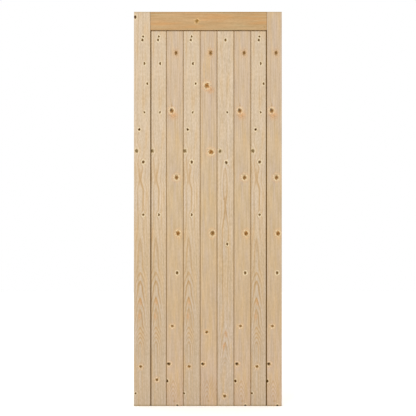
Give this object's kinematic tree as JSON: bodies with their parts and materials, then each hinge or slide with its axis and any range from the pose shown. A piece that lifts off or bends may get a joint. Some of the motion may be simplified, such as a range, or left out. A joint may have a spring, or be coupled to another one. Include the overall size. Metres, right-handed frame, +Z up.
{
  "type": "framed, ledged and braced barn door leaf",
  "caption": "Tall door leaf of bare pine: stiles and a top rail frame V-jointed tongue-and-groove boards, which ledges and diagonal braces carry at the back.",
  "frame": {"origin": "middle of the bottom edge, at half the thickness of the stiles", "axes": "+X to the right seen from the front, +Y from the boarded front to the braced back, +Z up"},
  "size_m": [0.762, 0.044, 2.032],
  "materials": {
    "pale_pine": "planed, bare, pale sapwood with small dark knots",
    "tan_pine": "planed, bare, with larger brown knots",
    "orange_pine": "planed, bare, orange heartwood",
    "back_pine": "planed, bare",
    "wedge_pine": "sawn, bare",
    "zinc_plated_steel": "zinc plated"
  },
  "bodies": {
    "root": {"left_stile": "pale_pine", "right_stile": "tan_pine", "top_rail": "orange_pine", "middle_ledge": "back_pine", "bottom_ledge": "back_pine", "upper_brace": "back_pine", "lower_brace": "back_pine", "board_1": "pale_pine", "board_2": "tan_pine", "board_3": "pale_pine", "board_4": "tan_pine", "board_5": "pale_pine", "board_6": "tan_pine", "board_7": "pale_pine", "top_rail_wedges": "wedge_pine", "middle_ledge_wedges": "wedge_pine", "bottom_ledge_wedges": "wedge_pine", "middle_ledge_screws": "zinc_plated_steel", "bottom_ledge_screws": "zinc_plated_steel", "upper_brace_screws": "zinc_plated_steel", "lower_brace_screws": "zinc_plated_steel"}
  },
  "joints": []
}
